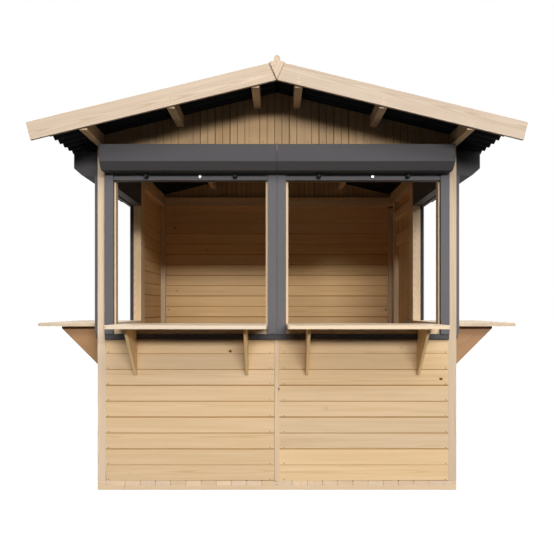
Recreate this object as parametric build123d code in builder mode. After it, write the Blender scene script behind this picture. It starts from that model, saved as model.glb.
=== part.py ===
from build123d import *
import math
import os

# Wooden market hut: panel walls on a boarded floor, a corrugated roof on purlins,
# aluminium roller shutters rolled up over the serving openings, lift-off counters
# on triangular brackets, and a ledged door in the right-hand wall.
# Millimetres, +Z up. The origin is on the ground at the middle of the plan,
# and the serving front faces -Y.

os.makedirs("parts", exist_ok=True)

# Plan and floor
width = 2300.0
depth = 2300.0
bearer_height = 30.0
bearer_width = 58.0
bearer_count = 5
deck_thickness = 28.0

# Wall panels
wall_height = 2142.0
wall_thickness = 60.0
cladding_thickness = 16.0
corner_rebate = 8.0
mid_post_width = 144.0
jamb_width = 58.0
rail_height = 44.0
cover_strip_width = 32.0
cover_strip_thickness = 8.0
panel_joint = 2.0

# Serving openings
sill_rail_bottom = 965.0
sill_rail_top = 1044.0
opening_head = 1985.0
head_rail_height = 60.0

# Roof
roof_pitch = 13.7
plate_depth = 66.0
purlin_width = 45.0
purlin_depth = 70.0
ridge_purlin_offset = 126.0
mid_purlin_offset = 618.0
overhang = 420.0
eaves_reach = 1382.0
wave_pitch = 95.0
wave_height = 38.0
wave_flank = 50.0
sheet_thickness = 3.0
ridge_gap = 12.0
cap_wing = 190.0
cap_radius = 18.5
cap_rise = 76.0

# Barge boards and the keys over their mitres
barge_thickness = 20.0
barge_depth = 106.0
barge_rise = 48.0
barge_reach = 1452.0
key_width = 87.0
key_thickness = 16.0

# Roller shutters
box_depth = 165.0
box_height = 153.0
box_bottom = 2025.0
box_chamfer_depth = 52.0
box_chamfer_height = 46.0
box_edge_radius = 6.0
box_cap_thickness = 4.0
box_cap_lip = 1.5
guide_width = 56.0
guide_thickness = 32.0
slot_width = 12.0
slot_depth = 30.0
bottom_bar_height = 46.0
bottom_bar_lip = 16.0
bottom_bar_lip_thickness = 3.0
sill_strip_height = 35.0
sill_strip_thickness = 22.0
slide_gap = 2.0

# Counters and brackets
counter_thickness = 22.0
counter_projection = 440.0
counter_gap = 2.0
counter_end_gap = 31.0
counter_corner_radius = 20.0
counter_edge_radius = 3.0
bracket_leg = 305.0
bracket_thickness = 18.0
bracket_tip = 16.0
bracket_inner_inset = 120.0
bracket_outer_inset = 127.0
bracket_clearance = 1.0

# Door in the right-hand wall
door_width = 700.0
door_gap = 5.0
door_jamb_width = 60.0
door_board = 18.0
ledge_height = 110.0
ledge_thickness = 26.0
ledge_heights = (230.0, 900.0, 1790.0)
stop_width = 22.0
stop_thickness = 20.0
stop_joint = 0.5
hinge_heights = (260.0, 1820.0)
hinge_height = 90.0
hinge_plate = 3.0
hinge_radius = 7.0
hinge_stand_off = 1.0
pin_radius = 3.5
pin_clearance = 0.05
knuckle_gap = 0.5
strap_length = 420.0
strap_width = 28.0
strap_tip_width = 18.0
jamb_plate_width = 42.0
knob_height = 1050.0
knob_inset = 62.0
knob_radius = 24.0
knob_rose_radius = 27.0
knob_rose_thickness = 4.0
knob_neck_radius = 9.0
knob_neck_length = 18.0
knob_thickness = 26.0

# Derived heights and lines
floor_top = bearer_height + deck_thickness
wall_top = floor_top + wall_height
pitch_tan = math.tan(math.radians(roof_pitch))
pitch_sin = math.sin(math.radians(roof_pitch))
pitch_cos = math.cos(math.radians(roof_pitch))
roof_apex = wall_top + plate_depth + pitch_tan * width / 2
frame_depth = wall_thickness - cladding_thickness
corner_face = wall_thickness - corner_rebate
opening_start = mid_post_width / 2
barge_inner_y = depth / 2 + overhang - barge_thickness
roof_length = 2 * barge_inner_y
door_start = opening_start + door_gap
door_end = door_start + door_width
door_jamb_start = door_end + door_gap
door_bottom = floor_top + door_gap
door_top = opening_head - door_gap
hinge_u = door_end + door_gap / 2
hinge_x = width / 2 + hinge_radius + hinge_stand_off

# Wall planes seen from outside: x to the right, y up, z outward
front = Plane(origin=(0, -depth / 2, 0), x_dir=(1, 0, 0), z_dir=(0, -1, 0))
rear = Plane(origin=(0, depth / 2, 0), x_dir=(-1, 0, 0), z_dir=(0, 1, 0))
left = Plane(origin=(-width / 2, 0, 0), x_dir=(0, -1, 0), z_dir=(-1, 0, 0))
right = Plane(origin=(width / 2, 0, 0), x_dir=(0, 1, 0), z_dir=(1, 0, 0))
half_length = {"front": width / 2, "rear": width / 2, "left": depth / 2, "right": depth / 2}
walls = {"front": front, "rear": rear, "left": left, "right": right}

# Each serving opening: its wall, and the side of the wall's middle that it is on
serving_bays = {
    "front_left": ("front", -1),
    "front_right": ("front", 1),
    "left": ("left", 1),
    "right": ("right", -1),
}


def save(part, name):
    part.label = name
    export_step(part, f"parts/{name}.step")


def roof_line(x):
    """Height of the roof sheets' underside at the distance x from the ridge."""
    return roof_apex - pitch_tan * abs(x)


def elevation(wall, inward=0.0):
    """The wall's plane seen from outside, moved inward from its outer face."""
    return walls[wall].offset(-inward)


def plan(wall, height):
    """A level plane at the wall's outer face: x along the wall, y inward."""
    plane = walls[wall]
    return Plane(origin=plane.origin + Vector(0, 0, height), x_dir=plane.x_dir, z_dir=(0, 0, 1))


def section(wall, u):
    """An upright plane across the wall at u: x outward, y up, looking back along the wall."""
    plane = walls[wall]
    return Plane(origin=plane.origin + plane.x_dir * u, x_dir=plane.z_dir, z_dir=plane.x_dir * -1)


def panel(u_low, u_high, low, high):
    """A rectangle in the current sketch between two places along the wall and two heights."""
    with Locations(((u_low + u_high) / 2, (low + high) / 2)):
        Rectangle(abs(u_high - u_low), high - low)


def frame_end(wall):
    """Where the wall's frame ends against the corner post."""
    return half_length[wall] - wall_thickness


def board_end(wall):
    """Where the boards, and whatever lies on them, end in the corner post's rebate."""
    return half_length[wall] - corner_face


def opening_end(wall):
    """Where the serving opening ends towards the corner post."""
    return frame_end(wall) - jamb_width


# Floor: bearers across the hut with the boards laid front to back over them
bearer_pitch = (depth - bearer_width) / (bearer_count - 1)
with BuildPart() as floor_bearers:
    with BuildSketch(Plane.XY):
        with GridLocations(0, bearer_pitch, 1, bearer_count):
            Rectangle(width, bearer_width)
    extrude(amount=bearer_height)
save(floor_bearers.part, "floor_bearers")

with BuildPart() as floor_deck:
    with BuildSketch(Plane.XY.offset(bearer_height)):
        Rectangle(width, depth)
    extrude(amount=deck_thickness)
save(floor_deck.part, "floor_deck")

# Posts at the four corners, rebated down both outer faces for the ends of the boards
core_inset = cladding_thickness + frame_depth / 2
with BuildPart() as corner_posts:
    with BuildSketch(Plane.XY.offset(floor_top)):
        with GridLocations(width - corner_face, depth - corner_face, 2, 2):
            Rectangle(corner_face, corner_face)
        with GridLocations(width - 2 * core_inset, depth - 2 * core_inset, 2, 2):
            Rectangle(frame_depth, frame_depth)
    extrude(amount=wall_height)
save(corner_posts.part, "corner_posts")

# Middle posts: behind the boards of the lower walls, and brought out flush beside an opening
with BuildPart() as front_mullion:
    with BuildSketch(elevation("front", wall_thickness)):
        panel(-opening_start, opening_start, floor_top, wall_top)
    extrude(amount=frame_depth)
    with BuildSketch(elevation("front", cladding_thickness)):
        panel(-opening_start, opening_start, sill_rail_bottom, wall_top)
    extrude(amount=cladding_thickness)
save(front_mullion.part, "front_mullion")

with BuildPart() as mid_posts:
    for wall in ("rear", "left", "right"):
        with BuildSketch(elevation(wall, wall_thickness)):
            panel(-opening_start, opening_start, floor_top, wall_top)
        extrude(amount=frame_depth)
    with BuildSketch(elevation("left", cladding_thickness)):
        panel(0, opening_start, sill_rail_bottom, wall_top)
    extrude(amount=cladding_thickness)
    with BuildSketch(elevation("right", cladding_thickness)):
        panel(-opening_start, 0, sill_rail_bottom, wall_top)
        panel(0, opening_start, floor_top, wall_top)
    extrude(amount=cladding_thickness)
save(mid_posts.part, "mid_posts")

# Jambs beside the corner posts, and the door's hinge jamb
with BuildPart() as jamb_posts:
    for wall, side in serving_bays.values():
        inner = side * opening_end(wall)
        with BuildSketch(elevation(wall, wall_thickness)):
            panel(inner, side * frame_end(wall), floor_top, wall_top)
        extrude(amount=frame_depth)
        with BuildSketch(elevation(wall, cladding_thickness)):
            panel(inner, side * board_end(wall), sill_rail_bottom, wall_top)
        extrude(amount=cladding_thickness)
    with BuildSketch(elevation("right", wall_thickness)):
        panel(door_jamb_start, door_jamb_start + door_jamb_width, floor_top, wall_top)
    extrude(amount=wall_thickness)
save(jamb_posts.part, "jamb_posts")

# Level members of the panels, behind the boards: one at the floor and one at the top of each bay
door_side_start = door_jamb_start + door_jamb_width
bays = [(wall, side * opening_start, side * opening_end(wall)) for wall, side in serving_bays.values()]
bays += [("rear", -frame_end("rear"), -opening_start), ("rear", opening_start, frame_end("rear"))]
bays += [("left", -frame_end("left"), -opening_start), ("right", door_side_start, frame_end("right"))]
with BuildPart() as bottom_rails:
    for wall, u_low, u_high in bays:
        with BuildSketch(elevation(wall, wall_thickness)):
            panel(u_low, u_high, floor_top, floor_top + rail_height)
        extrude(amount=frame_depth)
save(bottom_rails.part, "bottom_rails")

with BuildPart() as top_rails:
    for wall, u_low, u_high in bays + [("right", opening_start, door_jamb_start)]:
        with BuildSketch(elevation(wall, wall_thickness)):
            panel(u_low, u_high, wall_top - rail_height, wall_top)
        extrude(amount=frame_depth)
save(top_rails.part, "top_rails")

# Sills and heads of the openings, as thick as the wall
with BuildPart() as sill_rails:
    for wall, side in serving_bays.values():
        with BuildSketch(elevation(wall, wall_thickness)):
            panel(side * opening_start, side * opening_end(wall), sill_rail_bottom, sill_rail_top)
        extrude(amount=wall_thickness)
save(sill_rails.part, "sill_rails")

head_rail_top = opening_head + head_rail_height
with BuildPart() as head_rails:
    for wall, side in serving_bays.values():
        with BuildSketch(elevation(wall, wall_thickness)):
            panel(side * opening_start, side * opening_end(wall), opening_head, head_rail_top)
        extrude(amount=wall_thickness)
    with BuildSketch(elevation("right", wall_thickness)):
        panel(opening_start, door_jamb_start, opening_head, head_rail_top)
    extrude(amount=wall_thickness)
save(head_rails.part, "head_rails")

# Boarding of each wall, between the corner posts
joint = panel_joint / 2
wall_panels = {
    "front_wall": ("front", [
        (-board_end("front"), -joint, floor_top, sill_rail_bottom),
        (joint, board_end("front"), floor_top, sill_rail_bottom),
        (-opening_end("front"), -opening_start, head_rail_top, wall_top),
        (opening_start, opening_end("front"), head_rail_top, wall_top),
    ]),
    "rear_wall": ("rear", [
        (-board_end("rear"), -joint, floor_top, wall_top),
        (joint, board_end("rear"), floor_top, wall_top),
    ]),
    "left_wall": ("left", [
        (joint, board_end("left"), floor_top, sill_rail_bottom),
        (opening_start, opening_end("left"), head_rail_top, wall_top),
        (-board_end("left"), -joint, floor_top, wall_top),
    ]),
    "right_wall": ("right", [
        (-board_end("right"), -joint, floor_top, sill_rail_bottom),
        (-opening_end("right"), -opening_start, head_rail_top, wall_top),
        (opening_start, door_jamb_start, head_rail_top, wall_top),
        (door_side_start, board_end("right"), floor_top, wall_top),
    ]),
}
for name, (wall, pieces) in wall_panels.items():
    with BuildPart() as boarding:
        with BuildSketch(elevation(wall, cladding_thickness)):
            for piece in pieces:
                panel(*piece)
        extrude(amount=cladding_thickness)
    save(boarding.part, name)

# Narrow strips over the joints between the panels
strip_half = cover_strip_width / 2
with BuildPart() as cover_strips:
    for wall in walls:
        top = wall_top if wall == "rear" else sill_rail_bottom
        with BuildSketch(elevation(wall)):
            panel(-strip_half, strip_half, floor_top, top)
        extrude(amount=cover_strip_thickness)
save(cover_strips.part, "cover_strips")

# Gables: upright boarding cut round the purlins, with a rail along its foot inside
purlin_centres = [side * offset for side in (-1, 1) for offset in (ridge_purlin_offset, mid_purlin_offset)]
plate_centre = width / 2 - purlin_width / 2
for name, wall in (("front_gable", "front"), ("rear_gable", "rear")):
    with BuildPart() as gable:
        with BuildSketch(elevation(wall, cladding_thickness)):
            Polygon(
                (-width / 2, wall_top),
                (width / 2, wall_top),
                (width / 2, roof_line(width / 2)),
                (0, roof_apex),
                (-width / 2, roof_line(width / 2)),
                align=None,
            )
            with BuildSketch(mode=Mode.SUBTRACT):
                for centre in purlin_centres:
                    underside = roof_line(centre) - purlin_depth
                    panel(centre - purlin_width / 2, centre + purlin_width / 2, underside, roof_apex)
                for centre in (-plate_centre, plate_centre):
                    panel(centre - purlin_width / 2, centre + purlin_width / 2, wall_top, roof_apex)
        extrude(amount=cladding_thickness)
    save(gable.part, name)

with BuildPart() as gable_rails:
    for wall in ("front", "rear"):
        with BuildSketch(elevation(wall, wall_thickness)):
            panel(purlin_width - width / 2, width / 2 - purlin_width, wall_top, wall_top + rail_height)
        extrude(amount=frame_depth)
save(gable_rails.part, "gable_rails")


def purlin(centre, underside):
    """The end of a purlin in the front's plane: upright sides, and a top bevelled to the roof."""
    low = centre - purlin_width / 2
    high = centre + purlin_width / 2
    Polygon(
        (low, underside),
        (high, underside),
        (high, roof_line(high)),
        (low, roof_line(low)),
        align=None,
    )


# Wall plates on the side walls, and the purlins above them, all as long as the roof
barge_plane = Plane(origin=(0, barge_inner_y, 0), x_dir=(1, 0, 0), z_dir=(0, -1, 0))
with BuildPart() as wall_plates:
    with BuildSketch(barge_plane):
        for side in (-1, 1):
            purlin(side * plate_centre, wall_top)
    extrude(amount=roof_length)
save(wall_plates.part, "wall_plates")

with BuildPart() as purlins:
    with BuildSketch(barge_plane):
        for centre in purlin_centres:
            purlin(centre, roof_line(centre) - purlin_depth)
    extrude(amount=roof_length)
save(purlins.part, "purlins")

# Corrugated sheets: arcs joined by straight flanks, with the waves running down the slope
wave_count = round(roof_length / wave_pitch)
wave = roof_length / wave_count
rise = wave_height - sheet_thickness
half_flank = math.radians(wave_flank) / 2
flank_length = rise / math.tan(half_flank) - wave / 2
flank_cos = math.cos(2 * half_flank)
flank_sin = math.sin(2 * half_flank)
bend_radius = (wave / 2 - flank_length * flank_cos) / (2 * flank_sin)
valley_centre = sheet_thickness / 2 + bend_radius
crest_centre = sheet_thickness / 2 + rise - bend_radius


def wave_line(shift):
    """One face of the sheet, shift above its middle line, from one end valley to the other."""
    valley = bend_radius - shift
    crest = bend_radius + shift
    for count in range(wave_count):
        start = count * wave - roof_length / 2
        middle = start + wave / 2
        end = start + wave
        rising = CenterArc((start, valley_centre), valley, -90, wave_flank)
        top = CenterArc((middle, crest_centre), crest, 90 + wave_flank, -2 * wave_flank)
        falling = CenterArc((end, valley_centre), valley, -90 - wave_flank, wave_flank)
        Line(rising @ 1, top @ 0)
        Line(top @ 1, falling @ 0)


sheet_run = (eaves_reach - ridge_gap) / pitch_cos
for name, side in (("roof_sheet_left", -1), ("roof_sheet_right", 1)):
    slope = Plane(
        origin=(side * ridge_gap, 0, roof_line(ridge_gap)),
        x_dir=(0, side, 0),
        z_dir=(side * pitch_cos, 0, -pitch_sin),
    )
    with BuildPart() as roof_sheet:
        with BuildSketch(slope):
            with BuildLine():
                wave_line(sheet_thickness / 2)
                wave_line(-sheet_thickness / 2)
                Line((-roof_length / 2, 0), (-roof_length / 2, sheet_thickness))
                Line((roof_length / 2, 0), (roof_length / 2, sheet_thickness))
            make_face()
        extrude(amount=sheet_run)
    save(roof_sheet.part, name)


def cap_line(x):
    """Height of the waves' crests, where the ridge cap's wings lie."""
    return roof_line(x) + wave_height / pitch_cos


# Ridge cap: two wings on the crests and a round roll between them
cap_centre = roof_apex + cap_rise - cap_radius
wing_thickness = sheet_thickness / pitch_cos
roll_inside = cap_radius - sheet_thickness
with BuildPart() as ridge_cap:
    with BuildSketch(barge_plane):
        with BuildLine():
            outer_roll = CenterArc((0, cap_centre), cap_radius, 0, 180)
            inner_roll = CenterArc((0, cap_centre), roll_inside, 0, 180)
            for side, end in ((1, 0), (-1, 1)):
                Polyline(
                    outer_roll @ end,
                    (side * cap_radius, cap_line(cap_radius) + wing_thickness),
                    (side * cap_wing, cap_line(cap_wing) + wing_thickness),
                    (side * cap_wing, cap_line(cap_wing)),
                    (side * roll_inside, cap_line(roll_inside)),
                    inner_roll @ end,
                )
        make_face()
    extrude(amount=roof_length)
save(ridge_cap.part, "ridge_cap")


# Barge boards: mitred at the ridge, cut square at the eaves
def barge_board(side):
    """One board's outline, seen from the front."""
    top_end = roof_line(barge_reach) + barge_rise
    Polygon(
        (0, roof_apex + barge_rise),
        (side * barge_reach, top_end),
        (side * (barge_reach - barge_depth * pitch_sin), top_end - barge_depth * pitch_cos),
        (0, roof_apex + barge_rise - barge_depth / pitch_cos),
        align=None,
    )


barge_outer_y = depth / 2 + overhang
for end, face_y in (("front", -barge_inner_y), ("rear", barge_outer_y)):
    for hand, side in (("left", -1), ("right", 1)):
        with BuildPart() as barge:
            with BuildSketch(Plane(origin=(0, face_y, 0), x_dir=(1, 0, 0), z_dir=(0, -1, 0))):
                barge_board(side)
            extrude(amount=barge_thickness)
        save(barge.part, f"{end}_{hand}_barge_board")

# Keys over the mitres: wedges that taper to a point at the boards' lower edge,
# each with a stub on top that closes the end of the ridge cap's roll
key_half = key_width / 2
with BuildPart() as apex_keys:
    for face_y in (-barge_outer_y, barge_outer_y + key_thickness):
        with BuildSketch(Plane(origin=(0, face_y, 0), x_dir=(1, 0, 0), z_dir=(0, -1, 0))):
            Polygon(
                (0, roof_apex + barge_rise),
                (key_half, roof_line(key_half) + barge_rise),
                (0, roof_apex + barge_rise - barge_depth / pitch_cos),
                (-key_half, roof_line(key_half) + barge_rise),
                align=None,
            )
            panel(-cap_radius, cap_radius, roof_line(cap_radius), cap_centre)
            with Locations((0, cap_centre)):
                Circle(cap_radius)
        extrude(amount=key_thickness)
save(apex_keys.part, "apex_keys")


# Shutter boxes: a chamfered housing with an end cap a little proud at each end
def box_profile(lip):
    """The housing's section, grown by lip on its front and top."""
    Polygon(
        (0, box_bottom),
        (box_depth - box_chamfer_depth + lip, box_bottom),
        (box_depth + lip, box_bottom + box_chamfer_height),
        (box_depth + lip, box_bottom + box_height + lip),
        (0, box_bottom + box_height + lip),
        align=None,
    )


def curtain_span(wall, side, grow=0.0):
    """The clear space between a shutter's two guides, or more at both ends, in rising order."""
    inner_end = panel_joint / 2 + guide_width
    outer_end = board_end(wall) - guide_width
    ends = (side * (inner_end - grow), side * (outer_end + grow))
    return min(ends), max(ends)


for name, (wall, side) in serving_bays.items():
    low_u, high_u = curtain_span(wall, side, guide_width)
    with BuildPart() as shutter_box:
        with BuildSketch(section(wall, high_u)):
            box_profile(0)
        extrude(amount=high_u - low_u)
        along_wall = shutter_box.edges().filter_by(Axis(origin=(0, 0, 0), direction=walls[wall].x_dir))
        fillet(along_wall.group_by(Axis.Z)[-1].sort_by_distance(walls[wall].origin)[-1], box_edge_radius)
        for cap_u in (high_u, low_u + box_cap_thickness):
            with BuildSketch(section(wall, cap_u)):
                box_profile(box_cap_lip)
            extrude(amount=box_cap_thickness)
    save(shutter_box.part, f"{name}_shutter_box")

# Guides: channels on the wall's face, from the strip to the box, with the slot towards the opening
sill_strip_top = sill_rail_bottom + sill_strip_height
guide_middle = -guide_thickness / 2
for guide_wall in ("front", "left", "right"):
    with BuildPart() as guides:
        with BuildSketch(plan(guide_wall, sill_strip_top)):
            for wall, side in serving_bays.values():
                if wall == guide_wall:
                    low_u, high_u = curtain_span(wall, side)
                    for centre in (low_u - guide_width / 2, high_u + guide_width / 2):
                        with Locations((centre, guide_middle)):
                            Rectangle(guide_width, guide_thickness)
                    with Locations(((low_u + high_u) / 2, guide_middle)):
                        Rectangle(high_u - low_u + 2 * slot_depth, slot_width, mode=Mode.SUBTRACT)
        extrude(amount=box_bottom - sill_strip_top)
    save(guides.part, f"{guide_wall}_shutter_guides")

# Bottom bars of the rolled-up curtains, just under the boxes, with their ends in the slots
bar_thickness = slot_width - 2 * slide_gap
bar_back = guide_thickness / 2 - bar_thickness / 2
bar_grow = slot_depth - slide_gap
with BuildPart() as shutter_bottom_bars:
    for wall, side in serving_bays.values():
        low_u, high_u = curtain_span(wall, side, bar_grow)
        with BuildSketch(section(wall, high_u)):
            with Locations((bar_back, box_bottom - bottom_bar_height)):
                Rectangle(bar_thickness, bottom_bar_height, align=Align.MIN)
        extrude(amount=high_u - low_u)
        low_u, high_u = curtain_span(wall, side, -slide_gap)
        with BuildSketch(section(wall, high_u)):
            with Locations((bar_back, box_bottom - bottom_bar_height)):
                Rectangle(bar_thickness + bottom_bar_lip, bottom_bar_lip_thickness, align=Align.MIN)
        extrude(amount=high_u - low_u)
save(shutter_bottom_bars.part, "shutter_bottom_bars")

# Strips under the guides and between them, that the closed curtains land on
with BuildPart() as shutter_sills:
    for wall, side in serving_bays.values():
        with BuildSketch(elevation(wall)):
            panel(*curtain_span(wall, side, guide_width), sill_rail_bottom, sill_strip_top)
        extrude(amount=sill_strip_thickness)
save(shutter_sills.part, "shutter_sills")

# Counters: boards carried by the brackets outside and laid on the sill rails inside, where they
# are notched round the mid post
counter_start = panel_joint / 2 + guide_width + counter_gap
for name, (wall, side) in serving_bays.items():
    counter_end = opening_end(wall) - counter_end_gap
    with BuildPart() as counter:
        with BuildSketch(plan(wall, sill_rail_top)) as board:
            panel(side * counter_start, side * counter_end, -counter_projection, -counter_gap)
            fillet(board.vertices().group_by(Axis.Y)[0], counter_corner_radius)
            panel(side * (opening_start + counter_gap), side * counter_end, -counter_gap, wall_thickness)
        extrude(amount=counter_thickness)
        fillet(counter.edges().group_by(Axis.Z)[-1], counter_edge_radius)
    save(counter.part, f"{name}_counter")

# Brackets: upright triangular boards, notched over the strip under the opening
bracket_bottom = sill_rail_top - bracket_leg
notch_depth = sill_strip_thickness + bracket_clearance
notch_bottom = sill_rail_bottom - bracket_clearance
for bracket_wall in ("front", "left", "right"):
    with BuildPart() as brackets:
        for wall, side in serving_bays.values():
            if wall == bracket_wall:
                inner_centre = opening_start + bracket_inner_inset
                outer_centre = opening_end(wall) - bracket_outer_inset
                for centre in (inner_centre, outer_centre):
                    with BuildSketch(section(wall, side * centre + bracket_thickness / 2)):
                        Polygon(
                            (0, bracket_bottom),
                            (bracket_tip, bracket_bottom),
                            (bracket_leg, sill_rail_top - bracket_tip),
                            (bracket_leg, sill_rail_top),
                            (notch_depth, sill_rail_top),
                            (notch_depth, notch_bottom),
                            (0, notch_bottom),
                            align=None,
                        )
                    extrude(amount=bracket_thickness)
    save(brackets.part, f"{bracket_wall}_brackets")

# Door: upright boards held by three level ledges, inside its frame's stops
with BuildPart() as door_leaf:
    with BuildSketch(elevation("right", door_board)):
        panel(door_start, door_end, door_bottom, door_top)
    extrude(amount=door_board)
save(door_leaf.part, "door_leaf")

ledge_start = opening_start + stop_thickness + door_gap
ledge_end = door_jamb_start - stop_thickness - door_gap
with BuildPart() as door_ledges:
    with BuildSketch(elevation("right", door_board + ledge_thickness)):
        for height in ledge_heights:
            panel(ledge_start, ledge_end, height - ledge_height / 2, height + ledge_height / 2)
    extrude(amount=ledge_thickness)
save(door_ledges.part, "door_ledges")

stop_face = door_board + door_gap
stop_inner = opening_start + stop_thickness
stop_outer = door_jamb_start - stop_thickness
with BuildPart() as door_stops:
    with BuildSketch(elevation("right", stop_face + stop_width)):
        panel(opening_start, stop_inner, floor_top, opening_head)
        panel(stop_outer, door_jamb_start, floor_top, opening_head)
        panel(stop_inner + stop_joint, stop_outer - stop_joint, opening_head - stop_thickness, opening_head)
    extrude(amount=stop_width)
save(door_stops.part, "door_stops")

# Strap hinges: a knuckle on each strap turns on a pin held by the jamb plate's knuckles
knuckle_height = hinge_height / 3
strap_knuckle = knuckle_height - 2 * knuckle_gap
with BuildPart() as door_straps:
    for height in hinge_heights:
        with BuildSketch(elevation("right")):
            Polygon(
                (hinge_u, height - strap_width / 2),
                (hinge_u, height + strap_width / 2),
                (hinge_u - strap_length, height + strap_tip_width / 2),
                (hinge_u - strap_length, height - strap_tip_width / 2),
                align=None,
            )
            with Locations((hinge_u - strap_length, height)):
                Circle(strap_tip_width / 2)
        extrude(amount=hinge_plate)
        with BuildSketch(Plane.XY.offset(height - strap_knuckle / 2)):
            with Locations((hinge_x, hinge_u)):
                Circle(hinge_radius)
        extrude(amount=strap_knuckle)
        with BuildSketch(Plane.XY.offset(height - strap_knuckle / 2)):
            with Locations((hinge_x, hinge_u)):
                Circle(pin_radius + pin_clearance)
        extrude(amount=strap_knuckle, mode=Mode.SUBTRACT)
save(door_straps.part, "door_straps")

with BuildPart() as door_hinge_plates:
    for height in hinge_heights:
        notch_end = hinge_u + hinge_radius + hinge_stand_off
        with BuildSketch(elevation("right")):
            panel(hinge_u, hinge_u + jamb_plate_width, height - hinge_height / 2, height + hinge_height / 2)
            with BuildSketch(mode=Mode.SUBTRACT):
                panel(hinge_u, notch_end, height - knuckle_height / 2, height + knuckle_height / 2)
        extrude(amount=hinge_plate)
        with BuildSketch(Plane.XY.offset(height - hinge_height / 2)):
            with Locations((hinge_x, hinge_u)):
                Circle(pin_radius)
        extrude(amount=hinge_height)
        for foot in (height - hinge_height / 2, height + knuckle_height / 2):
            with BuildSketch(Plane.XY.offset(foot)):
                with Locations((hinge_x, hinge_u)):
                    Circle(hinge_radius)
            extrude(amount=knuckle_height)
save(door_hinge_plates.part, "door_hinge_plates")

# Knobs on both faces of the door, turned from a rose, a neck and a rounded head
knob_reach = knob_rose_thickness + knob_neck_length + knob_thickness
with BuildPart() as door_knobs:
    for face_x, outward in ((width / 2, 1), (width / 2 - door_board, -1)):
        axis_origin = (face_x, door_start + knob_inset, knob_height)
        turning = Plane(origin=axis_origin, x_dir=(outward, 0, 0), z_dir=(0, -outward, 0))
        with BuildSketch(turning):
            with BuildLine():
                outline = Polyline(
                    (0, 0),
                    (0, knob_rose_radius),
                    (knob_rose_thickness, knob_rose_radius),
                    (knob_rose_thickness, knob_neck_radius),
                    (knob_rose_thickness + knob_neck_length, knob_neck_radius),
                )
                head = ThreePointArc(
                    outline @ 1,
                    (knob_reach - knob_thickness / 2, knob_radius),
                    (knob_reach, knob_neck_radius),
                )
                Polyline(head @ 1, (knob_reach, 0), (0, 0))
            make_face()
        revolve(axis=Axis(origin=axis_origin, direction=(1, 0, 0)))
save(door_knobs.part, "door_knobs")
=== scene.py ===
import math
import random

import bmesh
import bpy
from mathutils import Matrix, Vector


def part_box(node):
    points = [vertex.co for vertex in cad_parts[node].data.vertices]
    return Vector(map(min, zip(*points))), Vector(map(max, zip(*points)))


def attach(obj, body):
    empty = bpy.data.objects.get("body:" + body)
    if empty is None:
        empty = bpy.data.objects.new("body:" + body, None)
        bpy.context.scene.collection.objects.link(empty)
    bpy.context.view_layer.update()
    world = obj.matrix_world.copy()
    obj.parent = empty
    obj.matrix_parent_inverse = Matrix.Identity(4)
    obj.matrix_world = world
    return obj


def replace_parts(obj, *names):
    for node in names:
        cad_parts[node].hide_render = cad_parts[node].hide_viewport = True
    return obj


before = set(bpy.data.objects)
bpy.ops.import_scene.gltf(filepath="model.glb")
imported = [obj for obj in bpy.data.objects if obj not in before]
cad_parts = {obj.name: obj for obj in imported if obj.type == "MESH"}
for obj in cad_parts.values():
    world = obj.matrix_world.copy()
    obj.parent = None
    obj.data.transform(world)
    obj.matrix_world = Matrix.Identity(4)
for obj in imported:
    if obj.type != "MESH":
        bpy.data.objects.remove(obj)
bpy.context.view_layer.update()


# Floor bearers: five sawn spruce battens laid flat across the hut, which everything else stands on.
# They are planed square, with the arrises just taken off, and their ends show the growth rings.


class Socket:
    """An output in a material's node tree. Arithmetic on it adds the nodes that work it out."""

    def __init__(self, tree, output=None):
        self.tree = tree
        self.output = output

    def add(self, kind, settings=None, inputs=None, output=0):
        """Adds any other node: its settings are made first, then each socket gets its value or its link."""
        node = self.tree.nodes.new("ShaderNode" + kind)
        for setting, value in (settings or {}).items():
            setattr(node, setting, value)
        for socket, value in (inputs or {}).items():
            if isinstance(value, Socket):
                self.tree.links.new(value.output, node.inputs[socket])
            else:
                node.inputs[socket].default_value = value
        return Socket(self.tree, node.outputs[output])

    def maths(self, operation, *terms):
        """A Math node on the terms, or on this socket alone: Vector Math for a colour or a vector."""
        terms = terms or (self,)
        vector = any(isinstance(term, Socket) and term.output.type != "VALUE" for term in terms)
        if vector:
            terms = [(term,) * 3 if isinstance(term, (int, float)) else term for term in terms]
        kind = "VectorMath" if vector else "Math"
        return self.add(kind, {"operation": operation}, dict(enumerate(terms)))

    def __add__(self, other):
        return self.maths("ADD", self, other)

    def __radd__(self, other):
        return self.maths("ADD", other, self)

    def __sub__(self, other):
        return self.maths("SUBTRACT", self, other)

    def __rsub__(self, other):
        return self.maths("SUBTRACT", other, self)

    def __mul__(self, other):
        return self.maths("MULTIPLY", self, other)

    def __rmul__(self, other):
        return self.maths("MULTIPLY", other, self)

    def __truediv__(self, other):
        return self.maths("DIVIDE", self, other)

    def __pow__(self, other):
        return self.maths("POWER", self, other)

    def __gt__(self, other):
        return self.maths("GREATER_THAN", self, other)

    def split(self):
        """The three parts of a vector."""
        parts = self.add("SeparateXYZ", inputs={0: self}).output.node.outputs
        return [Socket(self.tree, part) for part in parts]

    def fade(self, start, end):
        """1 below start, 0 beyond end, and smooth between them. It also runs upwards, from end to start."""
        settings = {"interpolation_type": "SMOOTHSTEP"}
        return self.add("MapRange", settings, {0: self, 1: start, 2: end, 3: 1.0, 4: 0.0})

    def between(self, none, full):
        """One colour where this mask is 0 and the other where it is 1."""
        colours = {6: none, 7: full}
        return self.add("Mix", {"data_type": "RGBA"}, {0: self, **colours}, output=2)

    def noise(self, stretch, detail=2.0, roughness=0.5):
        """Noise through this position, with so many waves a metre along each axis."""
        inputs = {"Vector": self * stretch, "Scale": 1.0, "Detail": detail, "Roughness": roughness}
        return self.add("TexNoise", inputs=inputs)

    def into(self, shader, name):
        """Feeds one of the shader's sockets."""
        self.tree.links.new(self.output, shader.inputs[name])


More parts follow.
